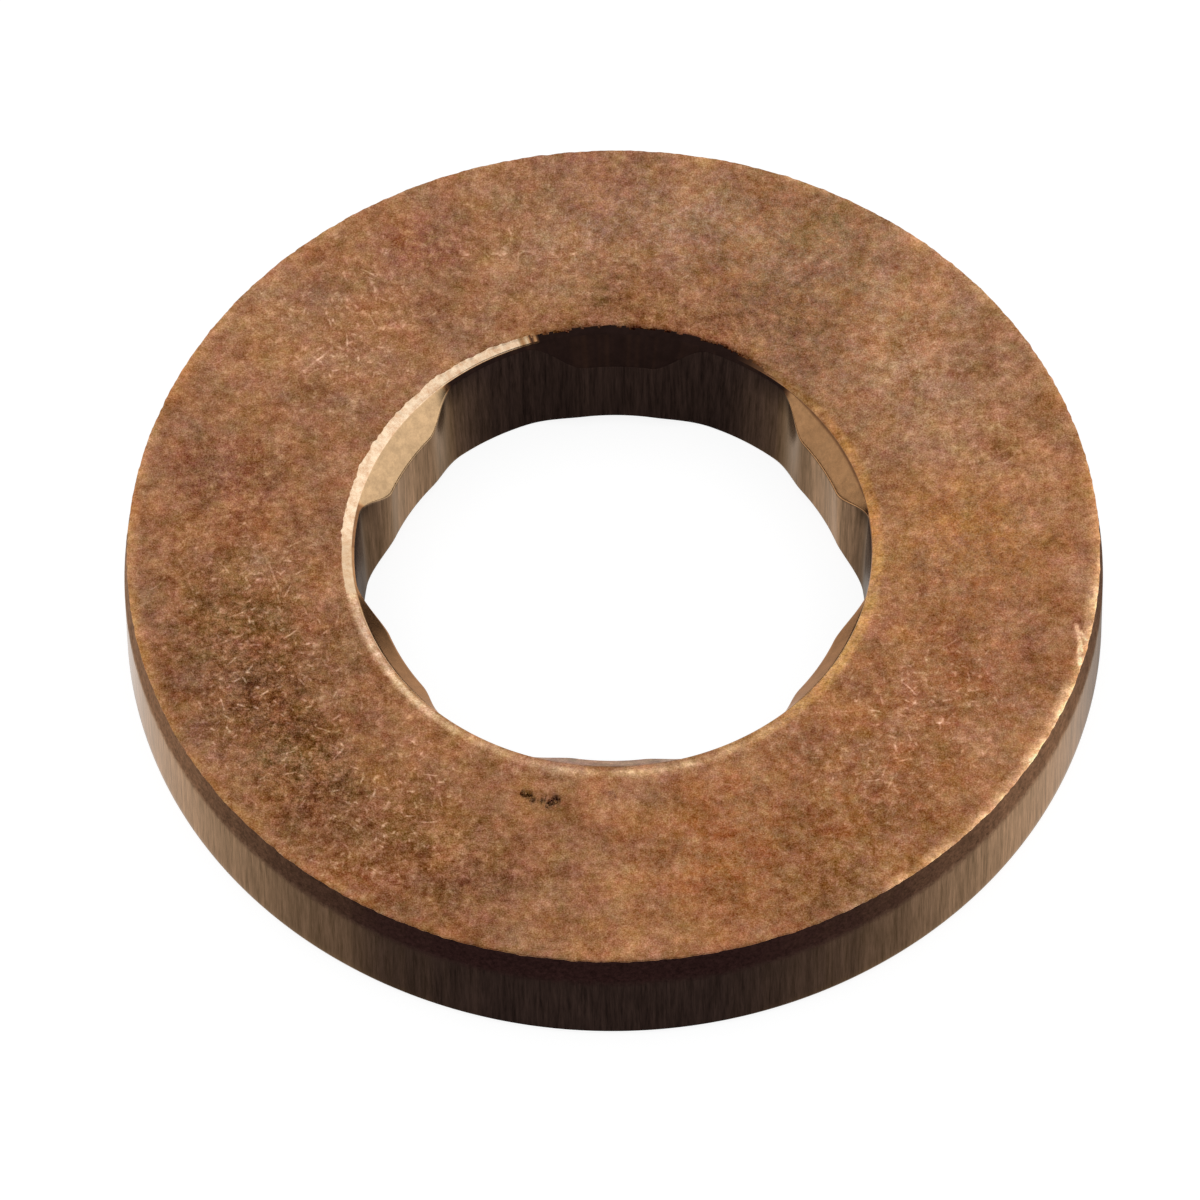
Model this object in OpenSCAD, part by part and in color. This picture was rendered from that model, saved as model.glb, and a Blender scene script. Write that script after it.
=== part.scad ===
/* [Ring] */
// Outside diameter over the smooth lower band of the rim
outer_d = 15; // [12:0.5:20]
// Thickness between the two sealing faces
thickness = 2; // [1.5:0.1:3]

/* [Rim] */
// Radius of the rolled edge round the lower face
roll_r = 0.15; // [0.05:0.01:0.3]
// Height of the rough band that lies under the upper face
rough_h = 0.55; // [0.3:0.05:0.8]
// How far the rough band leans in by the time it meets the upper face
rough_in = 0.05; // [0.02:0.01:0.1]

/* [Bore] */
// Diameter of the round bore that shows between the lands
bore_d = 7.75; // [7.6:0.05:9]
// Diameter across the grip faces of the lands
grip_d = 7.3; // [6.5:0.1:7.5]
// Number of lands round the bore
land_count = 6; // [4:1:8]
// Arc of one land's grip face, in degrees
land_arc = 20; // [10:1:24]
// Arc of round bore left between two lands, in degrees
bore_arc = 20; // [8:1:20]

/* [Mouth] */
// Step from the round bore out to the recess at the upper face
recess_step = 0.1; // [0.05:0.005:0.15]
// Depth of the recess below the upper face
recess_depth = 0.21; // [0.2:0.01:0.4]
// Width and depth of the bright 45 degree break round the recess
edge_break = 0.165; // [0.05:0.005:0.18]
// Full angle of the cone that leads in from the recess to the lands
lead_in_angle = 120; // [90:5:140]
// How far the 45 degree break of the lower mouth opens past the round bore
lower_break = 0.03; // [0.02:0.01:0.1]

/* [Hidden] */
$fn = 180;
copper = [0.66, 0.44, 0.30];
// Cutting tools run past the faces they cut by this much
over = 0.5;
outer_r = outer_d / 2;
bore_r = bore_d / 2;
grip_r = grip_d / 2;
recess_r = bore_r + recess_step;
pitch = 360 / land_count;
// A relief circle crosses the round bore at one angle from its own middle line,
// and the grip circle at a wider one. Those two crossings fix its place and radius.
bore_cross = bore_arc / 2;
grip_cross = (pitch - land_arc) / 2;
relief_x = (bore_r ^ 2 - grip_r ^ 2) / (2 * (bore_r * cos(bore_cross) - grip_r * cos(grip_cross)));
relief_r = sqrt(relief_x ^ 2 + bore_r ^ 2 - 2 * relief_x * bore_r * cos(bore_cross));
// The lead-in cone is cut a little further in than the grip faces
lead_in_r = grip_r - over;
lead_in_z = thickness - recess_depth - (recess_r - lead_in_r) / tan(lead_in_angle / 2);

// Punched disc: flat faces, rolled lower edge, upright smooth band, leaning rough band
module blank() {
    rotate_extrude() {
        polygon([
            [0, 0],
            [outer_r - roll_r, 0],
            [outer_r - roll_r, roll_r],
            [outer_r, roll_r],
            [outer_r, thickness - rough_h],
            [outer_r - rough_in, thickness],
            [0, thickness]
        ]);
        translate([outer_r - roll_r, roll_r]) circle(roll_r);
    }
}

// Round bore between the lands: relief circles, held back by the bore's own circle
module reliefs() {
    intersection() {
        translate([0, 0, -over]) cylinder(r = bore_r, h = thickness + 2 * over);
        for (i = [0 : land_count - 1])
            rotate(i * pitch)
                translate([relief_x, 0, -over])
                    cylinder(r = relief_r, h = thickness + 2 * over);
    }
}

// Upper mouth: edge break, short upright recess, and the cone that leads in to the lands
module upper_mouth() {
    rotate_extrude()
        polygon([
            [0, thickness + over],
            [recess_r + edge_break + over, thickness + over],
            [recess_r, thickness - edge_break],
            [recess_r, thickness - recess_depth],
            [lead_in_r, lead_in_z],
            [0, lead_in_z]
        ]);
}

// Lower mouth: one 45 degree break, deeper over the lands than between them
module lower_mouth() {
    wide_r = bore_r + lower_break + over;
    translate([0, 0, -over]) cylinder(r1 = wide_r, r2 = 0, h = wide_r);
}

module sealing_ring() {
    color(copper)
        difference() {
            blank();
            translate([0, 0, -over]) cylinder(r = grip_r, h = thickness + 2 * over);
            reliefs();
            upper_mouth();
            lower_mouth();
        }
}

sealing_ring();
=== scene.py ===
import math

import bmesh
import bpy
from mathutils import Matrix, Vector, noise


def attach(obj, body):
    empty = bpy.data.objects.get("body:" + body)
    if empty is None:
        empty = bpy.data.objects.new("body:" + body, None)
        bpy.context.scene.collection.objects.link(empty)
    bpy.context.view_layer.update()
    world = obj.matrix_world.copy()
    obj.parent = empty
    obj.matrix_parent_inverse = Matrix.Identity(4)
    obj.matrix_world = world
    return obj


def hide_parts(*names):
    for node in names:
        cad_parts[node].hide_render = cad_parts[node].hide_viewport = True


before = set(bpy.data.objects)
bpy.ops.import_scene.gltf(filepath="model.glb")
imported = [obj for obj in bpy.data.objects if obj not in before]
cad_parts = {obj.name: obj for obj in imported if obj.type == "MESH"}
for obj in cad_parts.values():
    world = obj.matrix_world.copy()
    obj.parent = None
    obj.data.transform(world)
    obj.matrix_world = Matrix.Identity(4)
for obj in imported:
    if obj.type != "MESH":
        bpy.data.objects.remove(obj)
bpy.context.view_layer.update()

MM = 0.001

# Camera
# The ring is taken from in front and well above, through a very long lens, so that the near and the
# far rim keep the same curve. The camera stands a little to the right and leans by under a degree.
view_elevation = math.radians(56.65)
view_azimuth = math.radians(1.78)
view_lean = math.radians(-0.84)
view_distance = 0.250
view_target = Vector((-0.2064, -0.2739, 1.0)) * MM
view_turn = (
    Matrix.Rotation(view_azimuth, 3, "Z")
    @ Matrix.Rotation(math.radians(90) - view_elevation, 3, "X")
    @ Matrix.Rotation(view_lean, 3, "Z")
)
towards_camera = view_turn @ Vector((0, 0, 1))
camera_lens = bpy.data.cameras.new("long_lens_camera")
camera_lens.sensor_width = 36
camera_lens.lens = 488.88
camera_lens.clip_start = 0.01
camera = bpy.data.objects.new("long_lens_camera", camera_lens)
camera.matrix_world = Matrix.Translation(view_target + towards_camera * view_distance) @ view_turn.to_4x4()
bpy.context.scene.collection.objects.link(camera)
bpy.context.scene.camera = camera
bpy.context.scene.view_settings.view_transform = "Standard"


# Floor
# A sheet of white card that the ring lies on. It shows white, takes the ring's soft shadow, and can
# be looked through from below, so that the ring's underside can be seen.
def linear(hex_colour):
    """An sRGB hex colour as the linear colour that a socket takes."""
    parts = [int(hex_colour[i : i + 2], 16) / 255 for i in (1, 3, 5)]
    return [p / 12.92 if p <= 0.04045 else ((p + 0.055) / 1.055) ** 2.4 for p in parts] + [1]


def add_node(tree, kind, inputs=(), **settings):
    """Adds a shader node with its settings, and fills or links its inputs."""
    node = tree.nodes.new("ShaderNode" + kind)
    for name, value in settings.items():
        setattr(node, name, value)
    for socket, value in dict(inputs).items():
        if isinstance(value, bpy.types.Node):
            value = value.outputs[0]
        if isinstance(value, bpy.types.NodeSocket):
            tree.links.new(value, node.inputs[socket])
        else:
            node.inputs[socket].default_value = value
    return node


floor_half = 150 * MM
floor_gap = 0.01 * MM
card_lift = 0.86
card = bmesh.new()
bmesh.ops.create_grid(card, x_segments=1, y_segments=1, size=floor_half)
bmesh.ops.translate(card, verts=card.verts, vec=(0, 0, -floor_gap))
card_mesh = bpy.data.meshes.new("white_card")
card.to_mesh(card_mesh)
card.free()
floor = bpy.data.objects.new("white_card", card_mesh)
bpy.context.scene.collection.objects.link(floor)

# White card: matt paper with no gloss of its own. It is lifted to white, and only about a fifth of
# its brightness comes from the light, so that the ring's shadow stays faint.
card_paint = bpy.data.materials.new("white_card")
card_paint.use_nodes = True
tree = card_paint.node_tree
tree.nodes.clear()
light_path = add_node(tree, "LightPath")
seen = light_path.outputs["Is Camera Ray"]
for ray in ("Is Glossy Ray", "Is Transmission Ray"):
    seen = add_node(tree, "Math", {0: seen, 1: light_path.outputs[ray]}, operation="MAXIMUM")
lift = add_node(tree, "Math", {0: seen, 1: card_lift}, operation="MULTIPLY")
paper = add_node(tree, "BsdfDiffuse", {"Color": linear("#8A8A8A")})
glow = add_node(tree, "Emission", {"Color": linear("#FFFFFF"), "Strength": lift})
paper = add_node(tree, "AddShader", {0: paper, 1: glow})
clear = add_node(tree, "BsdfTransparent")
side = add_node(tree, "NewGeometry")
paper = add_node(tree, "MixShader", {0: side.outputs["Backfacing"], 1: paper, 2: clear})
add_node(tree, "OutputMaterial", {"Surface": paper})
card_mesh.materials.append(card_paint)

# Light
# A white light tent all round the ring. Its lamp stands on the right, so the left wall of the tent is
# dimmer, and the opening for the lens is dark, which gives the metal its dark reflections.
tent_left = 0.72
tent_right = 1.34
tent_on_matt = 0.9
opening_dark = 0.03
opening_inner = math.cos(math.radians(28))
opening_outer = math.cos(math.radians(50))
tent = bpy.data.worlds.new("light_tent")
tent.use_nodes = True
tree = tent.node_tree
tree.nodes.clear()
direction = add_node(tree, "TexCoord").outputs["Generated"]
across = add_node(tree, "SeparateXYZ", {0: direction}).outputs["X"]
wall = add_node(
    tree,
    "MapRange",
    {"Value": across, "From Min": -1, "From Max": 1, "To Min": tent_left, "To Max": tent_right},
    interpolation_type="SMOOTHSTEP",
)
towards_lens = add_node(tree, "VectorMath", {0: direction, 1: towards_camera}, operation="DOT_PRODUCT")
opening = add_node(
    tree,
    "MapRange",
    {
        "Value": towards_lens.outputs["Value"],
        "From Min": opening_outer,
        "From Max": opening_inner,
        "To Min": 1,
        "To Max": opening_dark,
    },
    interpolation_type="SMOOTHSTEP",
)
tent_wall = add_node(tree, "Math", {0: wall, 1: opening}, operation="MULTIPLY")
# The camera sees the tent as plain white. The metal sees its wall with the lamp side and the opening,
# and matt surfaces get one even level.
light_path = add_node(tree, "LightPath")
glossy, through = light_path.outputs["Is Glossy Ray"], light_path.outputs["Is Transmission Ray"]
mirrored = add_node(tree, "Math", {0: glossy, 1: through}, operation="MAXIMUM")
soft = add_node(tree, "Mix", {0: mirrored, 2: tent_on_matt, 3: tent_wall})
soft = add_node(tree, "Mix", {0: light_path.outputs["Is Camera Ray"], 2: soft, 3: 1.0})
background = add_node(tree, "Background", {"Color": linear("#FFFFFF"), "Strength": soft})
add_node(tree, "OutputWorld", {"Surface": background})
bpy.context.scene.world = tent

# Sealing ring
# One washer punched out of half-hard copper strip, lying with its punched-through side up. The die
# sheared its rim and bore, a coining punch struck the mouth, and oil and years have tarnished it.
outer_r = 7.5
thickness = 2.0
roll_r = 0.15
rough_z = 1.45
rough_in = 0.05
lobe_r = 3.865
grip_r = 3.65
land_count = 6
mouth_r = 4.14
calm_w = 0.3
edge_r = 3.985
edge_z = 1.955
lead_in_foot = 1.602
rim_r = outer_r - rough_in
lower_r = 3.905
sector_steps = 180
weld_gap = 1e-4


def lead_in_z(radius, steeper=1.0):
    """Height of the lead-in at a radius."""
    return edge_z - (edge_r - radius) * (edge_z - lead_in_foot) / (edge_r - grip_r) * steeper


# Half section, from the lower mouth outwards and round to the bore: radius, height, the size that
# rounds the corner, the number of steps of that rounding, and the cuts in the edge that follows.
section = [
    (lower_r, 0, 0.02, 2, 4),
    (outer_r, 0, roll_r, 5, 4),
    (outer_r, rough_z, 0.05, 2, 8),
    (rim_r, thickness, 0.012, 2, 2),
    (rim_r - 0.3, thickness, 0, 0, 13),
    (mouth_r + calm_w, thickness, 0, 0, 5),
    (mouth_r, thickness, 0.03, 3, 4),
    (edge_r, edge_z, 0.02, 2, 6),
    (grip_r, lead_in_foot, 0.03, 3, 0),
    (grip_r, lead_in_foot - 0.05, 0, 0, 6),
    (grip_r, lower_r - grip_r, 0.03, 2, 2),
]
ring = bmesh.new()
corners = [ring.verts.new((radius, 0, height)) for radius, height, *_ in section]
sides = [ring.edges.new((a, b)) for a, b in zip(corners, corners[1:] + corners[:1])]
for edge, (*_, cuts) in zip(sides, section):
    if cuts:
        bmesh.ops.subdivide_edges(ring, edges=[edge], cuts=cuts)
for radius, height, rounding, steps, _ in section:
    if rounding:
        corner = min(ring.verts, key=lambda vert: (vert.co - Vector((radius, 0, height))).length)
        bmesh.ops.bevel(
            ring,
            geom=[corner],
            offset=rounding,
            offset_type="OFFSET",
            segments=steps,
            profile=0.5,
            affect="VERTICES",
            material=-1,
        )
# A sixth of the turn is spun, and then repeated five times, which is much quicker than a full spin.
turned = {"axis": (0, 0, 1), "cent": (0, 0, 0)}
sector = 2 * math.pi / land_count
bmesh.ops.spin(ring, geom=ring.verts[:] + ring.edges[:], steps=sector_steps, angle=sector, **turned)
slice_geom = ring.verts[:] + ring.edges[:] + ring.faces[:]
rest_of_turn = 2 * math.pi - sector
bmesh.ops.spin(ring, geom=slice_geom, steps=land_count - 1, angle=rest_of_turn, use_duplicate=True, **turned)
bmesh.ops.remove_doubles(ring, verts=ring.verts, dist=weld_gap)
bmesh.ops.recalc_face_normals(ring, faces=ring.faces)

# Three pits in the upper face and a shallow dent beside them: place, size and depth. At the right a
# nick runs in from the rim: its three strokes, from end to end. The faces there are cut finer.
pits = [
    (-1.24, -4.48, 0.085, 1.0), (-1.15, -4.56, 0.05, 0.6), (-1.03, -4.60, 0.07, 0.9),
    (-0.90, -4.64, 0.06, 0.8), (-0.80, -4.58, 0.095, 1.0), (0.05, -4.47, 0.08, 0.3),
]
strokes = [((7.14, -2.00), (7.13, -1.66)), ((7.16, -1.76), (7.09, -1.29)), ((7.24, -1.56), (7.14, -1.42))]
marked = pits + [(7.14, -1.64, 0.34, 0.0)]
finer_margin = 0.12
facing_up = 0.99


def by_a_mark(place):
    """Whether a place lies on one of the marks or just beside it."""
    return any(math.hypot(place.x - x, place.y - y) < size + finer_margin for x, y, size, _ in marked)


# An edge counts by the end that Blender lists first. That isn't the same end in every run, so a few
# edges beside the marks are cut in one run and not in another.
finer = [
    edge
    for edge in ring.edges
    if any(face.normal.z > facing_up for face in edge.link_faces) and by_a_mark(edge.verts[0].co)
]
bmesh.ops.subdivide_edges(ring, edges=finer, cuts=3, use_grid_fill=True)


def clamp(value, low=0.0, high=1.0):
    """The value, held between low and high."""
    return min(max(value, low), high)


def ease(value, start, end):
    """0 before start, 1 after end, and smooth between them."""
    share = clamp((value - start) / (end - start))
    return share * share * (3 - 2 * share)


def bore_plan(turn, widest, start=8.4, end=21.6):
    """Radius of the bore in a direction: six lands, and flanks that run from start to end, in degrees."""
    from_lobe = math.degrees(abs((turn + sector / 2) % sector - sector / 2))
    return widest - (widest - grip_r) * ease(from_lobe, start, end)


def round_noise(turn, per_turn, seed):
    """Smooth noise from -1 to 1 that closes on itself after a full turn."""
    reach = per_turn / (2 * math.pi)
    return noise.noise(Vector((reach * math.cos(turn), reach * math.sin(turn), seed * 7.31)))


def near(turn, centre, half_width):
    """1 in a direction, falling to 0 at half_width degrees to each side of it."""
    apart = abs((math.degrees(turn) - centre + 180) % 360 - 180)
    return clamp(1 - apart / half_width)


def burr_size(turn):
    """How far the burr has grown on the upper outer edge in a direction: it is all at the right front."""
    degrees = math.degrees(turn)
    return ease(degrees, -68, -50) * (1 - ease(degrees, -8, 18))


def pit_depth(x, y):
    """How deep a pit is at a place on the upper face, from 0 to 1."""
    ragged = 0.06 * noise.noise(Vector((x * 11, y * 11, 3.3)))
    ragged += 0.03 * noise.noise(Vector((x * 26, y * 26, 5.1)))
    return max(
        depth * (1 - ease(math.hypot(x - px, y - py) + ragged, size * 0.5, size * 1.25))
        for px, py, size, depth in pits
    )


def stroke_share(x, y):
    """How much of the nick's strokes lies at a place, from 0 to 1."""
    best = 1.0
    for (x0, y0), (x1, y1) in strokes:
        along = clamp(((x - x0) * (x1 - x0) + (y - y0) * (y1 - y0)) / ((x1 - x0) ** 2 + (y1 - y0) ** 2))
        best = min(best, math.hypot(x - x0 - along * (x1 - x0), y - y0 - along * (y1 - y0)))
    return clamp(1.6 - best / 0.03)


def oil_streak(turn):
    """How the oil's upright streaks raise or lower the bareness of the walls in a direction."""
    streak = 0.10 * round_noise(turn, 420, 31) + 0.08 * round_noise(turn, 130, 32)
    return streak + 0.08 * round_noise(turn, 30, 33)


def lead_in_painted_reflection(turn, width, share):
    """How bright the lead-in is painted, by its width there and the share of the way down it. It is painted
    reflection, bright at the left-back and right-back crescents and dark at the back, with a painted shadow
    line along the top of the right crescent.
    """
    # Painted reflection: bright crescents at the left-back and right-back, dark at the back.
    bare_and_painted_bright = 0.70 * clamp(near(turn, 150, 36) * 3) + 0.50 * clamp(near(turn, 30, 36) * 3)
    bare_and_painted_bright *= ease(width, 0.02, 0.08)
    bare_and_painted_bright = max(bare_and_painted_bright, 0.33 * (1 - clamp(near(turn, 90, 54) * 4)))
    if turn < 0:
        bare_and_painted_bright = 0.40 if turn < -math.pi / 2 else 0.37
    # Painted shadow: a thin dark line along the top of the right crescent.
    if share < 0.06 and 5 < math.degrees(turn) < 48:
        bare_and_painted_bright = 0.28
    return bare_and_painted_bright


def bore_wall_painted_reflection(turn, from_end, height, top_r):
    """How bright the bore's wall is painted, by how far it is from the ring's front or back, in degrees: a
    painted reflection, near black where the wall faces the front or back, brighter at the sides, and darker
    near the top between the lands.
    """
    side_start = 58 if abs(math.degrees(turn)) > 90 else 66
    bare_and_painted_bright = ease(from_end, 20, 66) * 0.85 * (1 - 0.70 * ease(from_end, side_start, 87))
    bare_and_painted_bright *= 1 - 0.65 * ease(height, 1.3, 1.9) * ease(top_r, grip_r + 0.12, edge_r - 0.06)
    bare_and_painted_bright *= 1 + 0.5 * near(turn, 178, 18) + 0.5 * near(turn, 3, 14)
    return bare_and_painted_bright


def struck_edge_wander(turn):
    """How far the struck edge strays from its circle in a direction, in mm."""
    wander = 0.012 * round_noise(turn, 60, 1) + 0.012 * round_noise(turn, 260, 2)
    wander += 0.014 * round_noise(turn, 14, 3)
    wander += near(turn, 88, 46) * (0.02 * round_noise(turn, 210, 5) + 0.02 * round_noise(turn, 420, 6))
    torn_left = clamp(near(turn, 147, 40) * 3)
    wander += torn_left * (0.02 + 0.03 * round_noise(turn, 300, 7) + 0.03 * round_noise(turn, 90, 8))
    wander += 0.05 * near(turn, -125.7, 0.9) - 0.03 * near(turn, -123.6, 0.8)
    return wander


# Which band of the section each face belongs to: 0 the upper face, 1 the struck edge and the lead-in,
# 2 the sheared walls, 3 the lower face. At the front and right the edge has worn into the face.
for face in ring.faces:
    middle = face.calc_center_median()
    radius, height = math.hypot(middle.x, middle.y), middle.z
    degrees = math.degrees(math.atan2(middle.y, middle.x))
    if height > thickness - 0.011 and radius > mouth_r:
        face.material_index = 0
    elif height > edge_z - 0.004 and radius < mouth_r + 0.01:
        # At the back the struck edge takes the burnished copper and is painted dark there, a painted dark
        # reflection with a ragged border.
        dark_back_border = 0.10 * ease(degrees, 46, 66) + 0.05 * noise.noise(Vector((middle.x * 9, middle.y * 9, 3.5)))
        painted_dark_back = 48 < degrees < 109 and radius < edge_r + dark_back_border
        face.material_index = 0 if -168 < degrees < 109 and not painted_dark_back else 1
    elif height > lead_in_foot - 0.012 and radius < edge_r + 0.01:
        face.material_index = 0 if -115 < degrees < -65 else 1
    elif height < 1e-5:
        face.material_index = 3
    else:
        face.material_index = 2
    face.smooth = True

# The walls follow the plan, the struck edge wanders and is ragged at the back, and the torn band is
# rough. One attribute says how bright the metal is at a vertex, from 0 for black to 1 for bare and bright.
# On the walls, the lead-in and the back of the struck edge it is mostly painted reflection: near black
# where they face the ring's front or back, and bright at its sides. On the struck edge at the left it is
# the real bare, worn metal. "filmed" says how thick the brown film is that has dried over the walls at
# the ring's left and right.
bareness_and_painted_reflection_layer = ring.verts.layers.float.new("bareness_and_painted_reflection")
film_layer = ring.verts.layers.float.new("filmed")
for vert in ring.verts:
    x, y, height = vert.co
    radius = math.hypot(x, y)
    turn = math.atan2(y, x)
    degrees = math.degrees(turn)
    from_end = math.degrees(math.acos(clamp(abs(math.sin(turn)))))
    streak = oil_streak(turn)
    # Painted reflection: the outer wall is painted near black where it faces the ring's front or back, and
    # bright at its sides.
    outer_painted_reflection = ease(from_end, 10, 68) if degrees < -90 else ease(from_end, 8, 66)
    outer_painted_reflection *= 1 - 0.25 * near(turn, -2, 24)
    if radius > outer_r - 1:
        vert[film_layer] = 0.7 * ease(near(turn, -1, 24), 0, 0.8)
    else:
        vert[film_layer] = 0.5 * ease(near(turn, 2, 22), 0, 0.8) + 0.78 * ease(near(turn, 180, 18), 0, 0.8)
    # The punch that struck the mouth stood a little off the bore's axis.
    off_axis = 0.04 * math.sin(turn) - 0.02 * math.cos(turn) - 0.02 * near(turn, -90, 60)
    if radius < edge_r - 1e-5 and height > 1e-4:
        # The lead-in narrows from the lands to almost nothing between them, where the wall leans out.
        foot_r = bore_plan(turn, lobe_r)
        top_r = bore_plan(turn, edge_r - 0.02, *((9.5, 20.5) if degrees > 150 else (9, 22)))
        top_r = min(top_r, edge_r + off_axis - 0.012)
        steeper = 1 - 0.28 * clamp(near(turn, -90, 32) * 2)
        top_z, foot_z = lead_in_z(top_r, steeper), lower_r - foot_r
        if height > lead_in_foot - 0.031:
            share = (edge_r - radius) / (edge_r - grip_r)
            rounding = (height - lead_in_z(radius)) * (0.4 + 0.6 * (edge_r - top_r) / (edge_r - grip_r))
            radius = edge_r - share * (edge_r - top_r)
            height = lead_in_z(radius, steeper) + rounding
            radius += off_axis * (1 - share)
            # The lead-in's colour is painted reflection, with a painted shadow line at the right.
            bare_and_painted_bright = lead_in_painted_reflection(turn, edge_r - top_r, share)
            vert[bareness_and_painted_reflection_layer] = clamp(bare_and_painted_bright + 0.15 * streak)
        else:
            old_foot = lower_r - grip_r
            if height >= old_foot:
                share = (height - old_foot) / (lead_in_foot - old_foot)
                radius = foot_r + (top_r - foot_r) * share
                height = foot_z + (top_z - foot_z) * share
            else:
                radius = foot_r + (radius - grip_r) * (lower_r - foot_r) / old_foot
                height *= foot_z / old_foot
            # Painted reflection: the bore's wall is painted near black where it faces the front or back,
            # brighter at the sides, and darker near its top.
            bare_and_painted_bright = bore_wall_painted_reflection(turn, from_end, height, top_r)
            vert[bareness_and_painted_reflection_layer] = clamp(bare_and_painted_bright + streak * (0.4 + bare_and_painted_bright))
    elif height > edge_z - 0.005 and radius < mouth_r + calm_w + 0.01:
        settle = clamp((mouth_r + calm_w - radius) / calm_w)
        share = clamp((radius - edge_r) / (mouth_r - edge_r)) * settle
        radius += off_axis * settle + struck_edge_wander(turn) * share
        height += 0.025 * near(turn, 120, 24) * clamp((mouth_r - radius) / 0.1)
        flecks = 0.5 * streak + 1.2 * near(turn, 109.5, 5) * round_noise(turn, 280, 36)
        # Painted dark reflection at the back of the struck edge, from about 64 to 106 degrees; at the left
        # the bright band is the real worn edge.
        bare_and_painted_bright = ease(degrees, 106.5, 112.5) + 0.42 * (1 - ease(degrees, 48, 64)) if degrees > 0 else 1.0
        bare_and_painted_bright -= 0.16 * clamp(near(turn, -174, 12) * 2)
        vert[bareness_and_painted_reflection_layer] = clamp(bare_and_painted_bright + flecks * (degrees > 106))
    elif height > rough_z and radius > rim_r - 0.1:
        depth = clamp((height - rough_z) / 0.2)
        tear = 0.012 * round_noise(turn, 500, 4 + height * 0.4)
        tear += 0.010 * round_noise(turn, 190, 9 + height * 2.0)
        radius += depth * (tear - 0.008)
        if height > thickness - 0.05:
            burr = burr_size(turn)
            ripple = 0.004 + 0.009 * clamp(near(turn, -90, 60) * 2)
            radius += ripple * round_noise(turn, 460, 41) + 0.006 * burr
            crest = 0.012 + 0.016 * round_noise(turn, 240, 21) + 0.012 * round_noise(turn, 70, 22)
            height += burr * clamp(crest, 0, 0.035)
        vert[bareness_and_painted_reflection_layer] = clamp(outer_painted_reflection + streak * (0.4 + 0.6 * outer_painted_reflection))
    else:
        vert[bareness_and_painted_reflection_layer] = clamp(outer_painted_reflection + streak * (0.4 + 0.6 * outer_painted_reflection))
    if height > thickness - 1e-3 and mouth_r + 0.1 < radius < mouth_r + 1:
        height -= 0.03 * pit_depth(x, y)
    vert.co = Vector((radius * math.cos(turn), radius * math.sin(turn), height))

# How the upper face has tarnished and worn, as a tone at each vertex. Each spot is a place (x, y) in
# mm, a reach in mm, a tone and a strength. A tone is red, green and blue in steps of the grain.
tones = {
    "dark": (-2.7, -2.2, -1.7),
    "olive": (-2.6, -1.7, -2.0),
    "mauve": (-1.7, -2.0, -1.0),
    "rust": (-0.8, -1.7, -1.6),
    "gold": (1.2, 0.9, 0.0),
    "pale": (2.0, 2.1, 2.0),
    "grey": (0.4, 0.9, 1.1),
    "shade": (-1.3, -1.2, -1.1),
    "warm": (0.3, -0.2, -0.5),
}
spots = [
    (-5.3, -2.0, 1.6, "dark", 0.62), (-4.9, -4.8, 0.9, "dark", 0.35), (0.0, 4.3, 0.7, "shade", 1.3),
    (1.6, 4.3, 0.8, "shade", 1.4), (2.8, 4.2, 0.6, "shade", 0.8), (0.9, 4.6, 0.9, "rust", 0.4),
    (-5.7, -1.3, 0.6, "olive", 0.5), (-5.4, -2.5, 0.5, "dark", 0.4),
    (-5.2, -3.0, 0.4, "dark", 0.35), (-4.7, -3.8, 0.5, "olive", 0.6), (-4.3, -4.4, 0.5, "dark", 0.35),
    (-3.1, -5.2, 0.6, "olive", 0.5), (-2.1, -6.1, 0.6, "dark", 0.5), (-3.6, -6.0, 0.8, "rust", 0.5),
    (-3.1, 5.6, 0.45, "mauve", 0.8), (-4.4, 4.9, 0.5, "dark", 0.4), (-6.0, 1.1, 0.7, "mauve", 0.5),
    (3.5, -5.8, 0.5, "olive", 0.6), (5.5, -2.4, 0.8, "rust", 0.3), (1.5, -5.8, 0.8, "rust", 0.3),
    (2.2, 6.2, 0.6, "dark", 0.3), (3.2, 6.0, 0.6, "olive", 0.4), (-0.3, 6.7, 0.6, "mauve", 0.5),
    (-0.9, 5.7, 0.6, "pale", 0.5), (4.5, 3.7, 0.6, "pale", 0.5), (5.0, 2.6, 0.5, "pale", 0.4),
    (5.3, 0.6, 0.8, "gold", 0.6), (5.4, -3.5, 0.4, "pale", 0.4), (3.4, 4.6, 1.8, "grey", 0.8),
    (-3.4, -4.4, 1.2, "shade", 0.35), (3.8, -4.0, 1.2, "shade", 0.35), (1.5, 5.55, 0.9, "pale", 0.45),
    (-1.2, 4.45, 0.5, "shade", 0.5), (-5.5, 1.5, 0.8, "shade", 0.45), (-4.1, 4.1, 1.0, "pale", 0.2),
    (4.5, 1.2, 0.5, "shade", 0.3), (-1.4, -5.4, 1.0, "shade", 0.4),
    (3.4, -4.6, 2.2, "warm", 0.8), (5.9, -0.4, 1.2, "warm", 0.6),
    (1.6, -5.7, 1.0, "shade", 0.45), (4.2, -4.8, 1.0, "shade", 0.3), (-3.2, -3.2, 0.6, "shade", 0.4),
    (0.4, 5.6, 1.4, "grey", 0.7), (-5.6, 4.2, 0.7, "pale", 0.4), (-3.4, -3.6, 0.5, "pale", 0.4),
]
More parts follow.
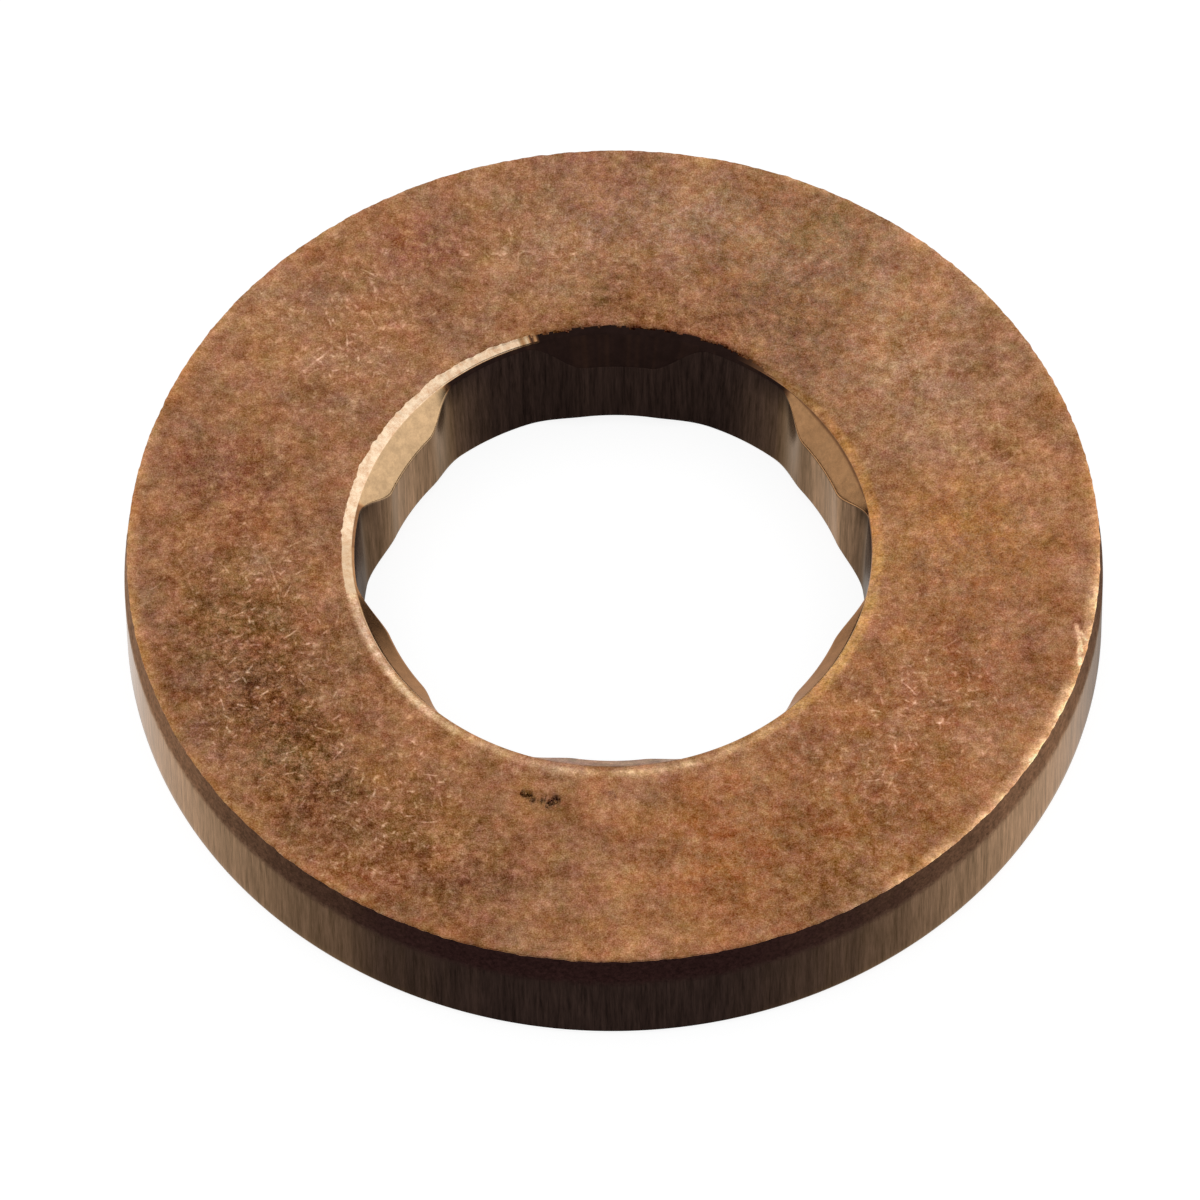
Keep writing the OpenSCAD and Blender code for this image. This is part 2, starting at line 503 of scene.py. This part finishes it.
# Where the face is scuffed by short scratches: place, reach and strength.
scuffs = [
    (-5.6, -0.8, 0.9, 1.0), (-5.1, -2.9, 0.9, 1.2), (-3.3, -4.9, 1.0, 1.0), (-4.4, 3.4, 0.9, 0.7),
    (4.9, -2.6, 0.9, 0.9), (3.9, -4.2, 0.8, 0.6), (5.7, 2.0, 0.7, 0.4), (-1.9, 5.4, 0.8, 0.5),
    (-4.0, 4.9, 0.8, 0.5), (1.0, 5.9, 0.9, 0.3),
]
tone_layer = ring.verts.layers.float_vector.new("tarnish")
rubbed_layer = ring.verts.layers.float_vector.new("rubbed")
scuff_layer = ring.verts.layers.float.new("scuffed")
for vert in ring.verts:
    if vert.co.z < thickness - 0.08:
        vert[rubbed_layer] = Vector((1.5, 2.0, 2.2))
        continue
    x, y = vert.co.x, vert.co.y
    radius, turn = math.hypot(x, y), math.atan2(y, x)
    tone = Vector((0, 0, 0))
    for spot_x, spot_y, reach, name, strength in spots:
        apart = ((x - spot_x) ** 2 + (y - spot_y) ** 2) / (2 * reach**2)
        if apart < 6:
            tone += Vector(tones[name]) * strength * math.exp(-apart)
    # The outer edge is rubbed gold, pale in places at the back, and the burr is bare and painted bright,
    # which is partly a painted highlight along its crest.
    rim = clamp(1 - (rim_r - radius) / 0.17)
    rubbed = Vector((5.0, 3.9, 1.9)) * rim * (near(turn, 190, 80) + 0.6 * near(turn, -10, 70))
    worn_places = clamp(0.3 + 1.6 * round_noise(turn, 40, 27))
    rubbed += Vector((2.4, 2.2, 1.6)) * rim * clamp(near(turn, 90, 85) * 2) * worn_places
    # Painted highlight: the burr's bright strip is bare metal and also a painted highlight along its crest.
    burr = burr_size(turn) * clamp(0.65 + 1.1 * round_noise(turn, 110, 23) + 0.7 * round_noise(turn, 300, 24))
    burr_highlight_w = 0.11 + 0.07 * round_noise(turn, 80, 28)
    rubbed += Vector((8.0, 8.0, 7.0)) * burr * clamp(1.35 - (rim_r - radius) / burr_highlight_w)
    rubbed += Vector((7.0, 7.0, 6.2)) * stroke_share(x, y)
    # The mouth's edge is worn pale at the front left, patchy at the front, and gold to orange at the right,
    # where the orange is also a painted reflection of the copper across the mouth. At the back it is
    # painted dark, a painted dark reflection.
    worn = ease(mouth_r + 0.03 - radius, -0.02, 0.09)
    patchy = clamp(0.85 + 0.8 * round_noise(turn, 90, 25) + 0.4 * round_noise(turn, 260, 26), 0.2, 1.2)
    inner = 1 - 0.7 * ease(edge_r + 0.05 - radius, 0, 0.05)
    left = clamp(near(turn, -168, 44) * 2.4)
    rubbed += Vector((6.4, 7.2, 6.9)) * worn * inner * left * (0.85 + 0.15 * patchy)
    rubbed += Vector((4.5, 5.0, 4.3)) * worn * inner * patchy * clamp(near(turn, -96, 50) * 2.2)
    # The gold to orange at the right is worn metal and also a painted reflection of the copper across the
    # mouth.
    gold = Vector((4.2, 4.0, 2.0)) * worn * clamp(near(turn, -30, 38) * 1.6)
    rubbed += gold + Vector((3.4, 2.3, 0.5)) * worn * clamp(near(turn, 26, 40) * 1.6)
    # Painted dark reflection over the back of the struck edge, reaching just onto the face.
    back_painted_dark = ease(4.17 + 0.04 * round_noise(turn, 120, 29) - radius, 0, 0.10)
    tone += Vector((-8.0, -6.6, -5.0)) * back_painted_dark * clamp(near(turn, 84, 30) * 2.5)
    back_lip_painted_dark = ease(4.13 + 0.03 * round_noise(turn, 170, 30) - radius, 0, 0.05)
    rubbed += Vector((-4.0, -3.3, -2.6)) * back_lip_painted_dark * clamp(near(turn, 84, 28) * 2.5)
    tone += Vector((-6.4, -4.6, -3.0)) * pit_depth(x, y)
    vert[rubbed_layer] = rubbed
    vert[tone_layer] = tone
    vert[scuff_layer] = sum(
        strength * math.exp(-((x - cx) ** 2 + (y - cy) ** 2) / (2 * reach**2))
        for cx, cy, reach, strength in scuffs
    )

ring_mesh = bpy.data.meshes.new("copper_sealing_ring")
bmesh.ops.scale(ring, verts=ring.verts, vec=(MM, MM, MM))
ring.to_mesh(ring_mesh)
ring.free()
sealing_ring = bpy.data.objects.new("copper_sealing_ring", ring_mesh)
bpy.context.scene.collection.objects.link(sealing_ring)


def hairlines(tree, place, cell, length, width, share, seed):
    """Hairline scratches: one in some cells, each turned at random. Sizes are in mm."""
    moved = add_node(tree, "VectorMath", {0: place, 1: (seed * 3.7, seed * 5.3, 0)}, operation="ADD")
    flat = add_node(tree, "VectorMath", {0: moved, 1: (1, 1, 0)}, operation="MULTIPLY")
    spacing = {"Vector": flat, "Scale": 1 / cell, "Randomness": 1.0}
    cells = add_node(tree, "TexVoronoi", spacing, voronoi_dimensions="2D")
    scaled = add_node(tree, "VectorMath", {0: cells.outputs["Position"], 1: (1, 1, 0)}, operation="MULTIPLY")
    offset = add_node(tree, "VectorMath", {0: flat, 1: scaled}, operation="SUBTRACT")
    luck = add_node(tree, "SeparateColor", {0: cells.outputs["Color"]})
    angle = add_node(tree, "Math", {0: luck.outputs[0], 1: math.pi}, operation="MULTIPLY")
    turned_offset = add_node(tree, "VectorRotate", {"Vector": offset, "Angle": angle}, rotation_type="Z_AXIS")
    along = add_node(tree, "SeparateXYZ", {0: turned_offset})
    bend = add_node(tree, "Math", {0: along.outputs["X"], 1: along.outputs["X"]}, operation="MULTIPLY")
    bow = add_node(tree, "Math", {0: bend, 1: 0.15 / cell, 2: along.outputs["Y"]}, operation="MULTIPLY_ADD")
    across = add_node(tree, "Math", {0: bow}, operation="ABSOLUTE")
    line = add_node(
        tree,
        "MapRange",
        {"Value": across, "From Min": width * 0.3, "From Max": width * 0.6, "To Min": 1, "To Max": 0},
    )
    reach = add_node(tree, "Math", {0: along.outputs["X"]}, operation="ABSOLUTE")
    ends = add_node(
        tree,
        "MapRange",
        {"Value": reach, "From Min": length * 0.25, "From Max": length * 0.5, "To Min": 1, "To Max": 0},
    )
    drawn = add_node(
        tree,
        "MapRange",
        {"Value": luck.outputs[1], "From Min": 1 - share, "From Max": 1, "To Min": 0, "To Max": 1},
    )
    mark = add_node(tree, "Math", {0: line, 1: ends}, operation="MULTIPLY")
    return add_node(tree, "Math", {0: mark, 1: drawn}, operation="MULTIPLY")


def start_metal(name, roughness, edge_tint="#FFFFFF"):
    """A new metal, its nodes, the place on the ring in mm, and its shader."""
    metal = bpy.data.materials.new(name)
    metal.use_nodes = True
    tree = metal.node_tree
    tree.nodes.clear()
    place = add_node(tree, "TexCoord").outputs["Object"]
    place = add_node(tree, "VectorMath", {0: place, "Scale": 1 / MM}, operation="SCALE")
    shader = add_node(
        tree,
        "BsdfPrincipled",
        {
            "Metallic": 1.0,
            "Roughness": roughness,
            "Specular Tint": linear(edge_tint),
            "Specular IOR Level": 0.0,
        },
    )
    add_node(tree, "OutputMaterial", {"Surface": shader})
    return metal, tree, place, shader


# Tarnished copper: the strip's rolled surface after tumbling and years in a drawer. It gives a satin
# brown with a fine many-coloured grain, darker stains, and bright hairlines where it has rubbed. The
# real grain and hairlines are about 0.01 mm wide, too fine to show, so both are drawn 0.03 mm wide.
# A step of the tone is ten of the 255 levels of a colour.
step = 10 / 255
face_colour = "#A2714E"
face_metal, tree, place, shader = start_metal("tarnished_copper", 0.45)
tone = (0.0, 0.0, 0.0)
# Each layer of the grain, from the finest: its scale, detail and strength, and how much it warms. The
# last one has no strength, and only warms or cools the colour.
for scale, detail, strength, warmth in (
    (38.0, 1.0, 11.2, 0.0),
    (9.0, 1.0, 6.3, 0.07),
    (1.6, 2.0, 9.5, 0.14),
    (0.5, 1.0, 2.5, 0.5),
    (0.9, 1.0, 0.0, 1.7),
):
    grain = add_node(
        tree,
        "TexNoise",
        {"Vector": place, "Scale": scale, "Detail": detail, "Roughness": 1.0, "Lacunarity": 2.1},
    )
    grain = add_node(tree, "Math", {0: grain, 1: 0.5}, operation="SUBTRACT")
    spread = [strength + warmth * (strength or 1.0), strength, strength - warmth * (strength or 1.0)]
    tone = add_node(tree, "VectorMath", {0: grain, 1: spread, 2: tone}, operation="MULTIPLY_ADD")
tint = add_node(
    tree,
    "TexNoise",
    {"Vector": place, "Scale": 2.4, "Detail": 4.0, "Roughness": 0.85, "Lacunarity": 2.2},
)
tint = add_node(tree, "VectorMath", {0: tint.outputs["Color"], 1: (-0.5, -0.5, -0.5)}, operation="ADD")
tone = add_node(tree, "VectorMath", {0: tint, 1: (3.4, 3.4, 3.4), 2: tone}, operation="MULTIPLY_ADD")
stain = add_node(tree, "Attribute", attribute_name="tarnish").outputs["Vector"]
speckle = add_node(tree, "TexNoise", {"Vector": place, "Scale": 5.0, "Detail": 4.0, "Roughness": 1.0})
speckle = add_node(
    tree,
    "MapRange",
    {"Value": speckle, "From Min": 0.40, "From Max": 0.60, "To Min": 0.0, "To Max": 2.0},
)
tone = add_node(tree, "VectorMath", {0: stain, 1: speckle, 2: tone}, operation="MULTIPLY_ADD")
rubbed = add_node(tree, "Attribute", attribute_name="rubbed").outputs["Vector"]
fainter = add_node(tree, "Math", {0: speckle, 1: 0.35, 2: 0.65}, operation="MULTIPLY_ADD")
tone = add_node(tree, "VectorMath", {0: rubbed, 1: fainter, 2: tone}, operation="MULTIPLY_ADD")
scratch = None
# Each set of hairlines: its cells' size, the lines' length and width in mm, the share of the cells that
# have one, their strength, and a seed.
for cell, length, width, share, strength, seed in (
    (0.13, 0.10, 0.034, 0.45, 3.8, 1),
    (0.22, 0.17, 0.032, 0.45, 4.4, 2),
    (0.42, 0.32, 0.028, 0.40, 4.8, 3),
    (1.30, 1.10, 0.036, 0.35, 2.6, 4),
    (0.95, 0.80, 0.080, 0.50, 1.6, 5),
):
    lines = hairlines(tree, place, cell, length, width, share, seed)
    scratch = add_node(tree, "Math", {0: lines, 1: strength, 2: scratch or 0.0}, operation="MULTIPLY_ADD")
flecks = add_node(tree, "TexNoise", {"Vector": place, "Scale": 7.0, "Detail": 1.0, "Roughness": 0.8})
flecks = add_node(
    tree,
    "MapRange",
    {"Value": flecks, "From Min": 0.60, "From Max": 0.78, "To Min": 0.0, "To Max": 4.4},
)
scratch = add_node(tree, "Math", {0: scratch, 1: flecks}, operation="ADD")
scuffed = add_node(tree, "Attribute", attribute_name="scuffed")
scuffed = add_node(tree, "Math", {0: scuffed.outputs["Fac"], 1: 0.25}, operation="ADD")
tone = add_node(tree, "VectorMath", {0: scratch, 1: scuffed, 2: tone}, operation="MULTIPLY_ADD")
base = linear(face_colour)
srgb = [int(face_colour[i : i + 2], 16) / 255 for i in (1, 3, 5)]
tone_steps = [step / part for part in srgb]
factor = add_node(tree, "VectorMath", {0: tone, 1: tone_steps, 2: (1, 1, 1)}, operation="MULTIPLY_ADD")
factor = add_node(tree, "VectorMath", {0: factor, 1: (0.05, 0.05, 0.05)}, operation="MAXIMUM")
factor = add_node(tree, "Gamma", {"Color": factor, "Gamma": 2.2})
colour = add_node(tree, "VectorMath", {0: factor, 1: base[:3]}, operation="MULTIPLY")
tree.links.new(colour.outputs[0], shader.inputs["Base Color"])
ring_mesh.materials.append(face_metal)

# Burnished copper: the edges that the punch struck, bare and bright, and browned where oil has dried.
# Below the value set here the metal gives way to a dark matt layer: oil in places, and at the back of
# the mouth and the lead-in a painted dark reflection.
metal_fades_below = 0.35
edge_metal, tree, place, shader = start_metal("burnished_copper", 0.22, edge_tint="#ECD9CB")
bareness_and_painted_reflection = add_node(tree, "Attribute", attribute_name="bareness_and_painted_reflection").outputs["Fac"]
fleck = add_node(tree, "TexNoise", {"Vector": place, "Scale": 8.0, "Detail": 4.0, "Roughness": 0.8})
fleck = add_node(tree, "ValToRGB", {"Fac": fleck})
fleck.color_ramp.elements[0].position = 0.30
fleck.color_ramp.elements[0].color = linear("#CFA17B")
fleck.color_ramp.elements[1].position = 0.62
fleck.color_ramp.elements[1].color = linear("#F5DBBB")
# The patina runs from near black, painted dark reflection at the back of the mouth and the lead-in, to bright
# copper.
patina = add_node(tree, "ValToRGB", {"Fac": bareness_and_painted_reflection})
for position, colour in ((0.30, "#80583C"), (0.50, "#BA8B60")):
    patina.color_ramp.elements.new(position).color = linear(colour)
patina.color_ramp.elements[0].color = linear("#251916")
patina.color_ramp.elements[-1].position = 0.70
patina.color_ramp.elements[-1].color = linear("#BD9C76")
mottle = add_node(tree, "TexNoise", {"Vector": place, "Scale": 5.0, "Detail": 3.0, "Roughness": 0.8})
mottle = add_node(
    tree,
    "MapRange",
    {"Value": mottle, "From Min": 0.35, "From Max": 0.65, "To Min": 0.83, "To Max": 1.14},
)
patina = add_node(tree, "VectorMath", {0: patina, "Scale": mottle}, operation="SCALE")
bright = add_node(
    tree,
    "MapRange",
    {"Value": bareness_and_painted_reflection, "From Min": 0.72, "From Max": 0.95, "To Min": 0, "To Max": 1},
)
colour = add_node(tree, "Mix", {0: bright, 6: patina, 7: fleck}, data_type="RGBA")
tree.links.new(colour.outputs[2], shader.inputs["Base Color"])
metal_share = add_node(
    tree,
    "MapRange",
    {"Value": bareness_and_painted_reflection, "From Min": 0, "From Max": metal_fades_below, "To Min": 0, "To Max": 1},
)
tree.links.new(metal_share.outputs[0], shader.inputs["Metallic"])
ring_mesh.materials.append(edge_metal)

# Sheared copper: the walls that the die cut, drawn into upright lines. Their colour is painted
# reflection: near black at the front and the back of the ring and brown at its sides. The torn band
# above is rougher and redder. Real die lines are about 0.02 mm wide, too fine to show, so they are
# drawn 0.05 mm wide.
sheared_rough = 0.16
torn_rough = 0.60
# The torn band is on the outer wall alone, past this radius.
band_from_r = 6.0
wall_metal, tree, place, shader = start_metal("sheared_copper", sheared_rough, edge_tint="#E4D4C4")
parts = add_node(tree, "SeparateXYZ", {0: place})
ragged = add_node(tree, "TexNoise", {"Vector": place, "Scale": 6.0, "Detail": 4.0, "Roughness": 0.9})
border = add_node(tree, "Math", {0: ragged, 1: 0.36, 2: parts.outputs["Z"]}, operation="MULTIPLY_ADD")
outside = add_node(tree, "VectorMath", {0: place, 1: (1, 1, 0)}, operation="MULTIPLY")
outside = add_node(tree, "VectorMath", {0: outside}, operation="LENGTH").outputs["Value"]
outside = add_node(tree, "Math", {0: outside, 1: band_from_r}, operation="GREATER_THAN")
band = add_node(
    tree,
    "MapRange",
    {
        "Value": border,
        "From Min": rough_z + 0.09,
        "From Max": rough_z + 0.27,
        "To Min": 0,
        "To Max": outside,
    },
)
bareness_and_painted_reflection = add_node(tree, "Attribute", attribute_name="bareness_and_painted_reflection").outputs["Fac"]
metal_share = add_node(
    tree,
    "MapRange",
    {"Value": bareness_and_painted_reflection, "From Min": 0, "From Max": metal_fades_below, "To Min": 0, "To Max": 1},
)
filmed = add_node(tree, "Attribute", attribute_name="filmed").outputs["Fac"]
unfilmed = add_node(tree, "Math", {0: 1, 1: filmed}, operation="SUBTRACT")
metal_share = add_node(tree, "Math", {0: metal_share, 1: unfilmed}, operation="MULTIPLY")
tree.links.new(metal_share.outputs[0], shader.inputs["Metallic"])
# Painted reflection: the walls' colour runs from near black at the ring's front and back to brown at its
# sides.
bareness_and_painted_reflection = add_node(tree, "Math", {0: bareness_and_painted_reflection, 1: 2.4}, operation="POWER")
smooth_colours = {0: bareness_and_painted_reflection, 6: linear("#382A25"), 7: linear("#A08168")}
smooth_colour = add_node(tree, "Mix", smooth_colours, data_type="RGBA").outputs[2]
torn_colours = {0: bareness_and_painted_reflection, 6: linear("#321F1D"), 7: linear("#86634B")}
torn_colour = add_node(tree, "Mix", torn_colours, data_type="RGBA").outputs[2]
colour = add_node(tree, "Mix", {0: band, 6: smooth_colour, 7: torn_colour}, data_type="RGBA")
stretched = add_node(tree, "VectorMath", {0: place, 1: (18.0, 18.0, 1.0)}, operation="MULTIPLY")
lines = add_node(tree, "TexNoise", {"Vector": stretched, "Scale": 1.0, "Detail": 3.0, "Roughness": 0.8})
torn = add_node(tree, "TexNoise", {"Vector": place, "Scale": 14.0, "Detail": 3.0, "Roughness": 0.9})
pattern = add_node(tree, "Mix", {0: band, 2: lines, 3: torn})
shade = add_node(
    tree,
    "MapRange",
    {"Value": pattern, "From Min": 0.30, "From Max": 0.70, "To Min": 0.45, "To Max": 1.55},
)
colour = add_node(tree, "VectorMath", {0: colour.outputs[2], "Scale": shade}, operation="SCALE")
tree.links.new(colour.outputs[0], shader.inputs["Base Color"])
roughness = add_node(
    tree,
    "MapRange",
    {"Value": band, "From Min": 0, "From Max": 1, "To Min": sheared_rough, "To Max": torn_rough},
)
tree.links.new(roughness.outputs[0], shader.inputs["Roughness"])
ring_mesh.materials.append(wall_metal)

# The lower face has the same skin as the upper one, without its stains.
ring_mesh.materials.append(face_metal)

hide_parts("sealing_ring")
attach(sealing_ring, "root")
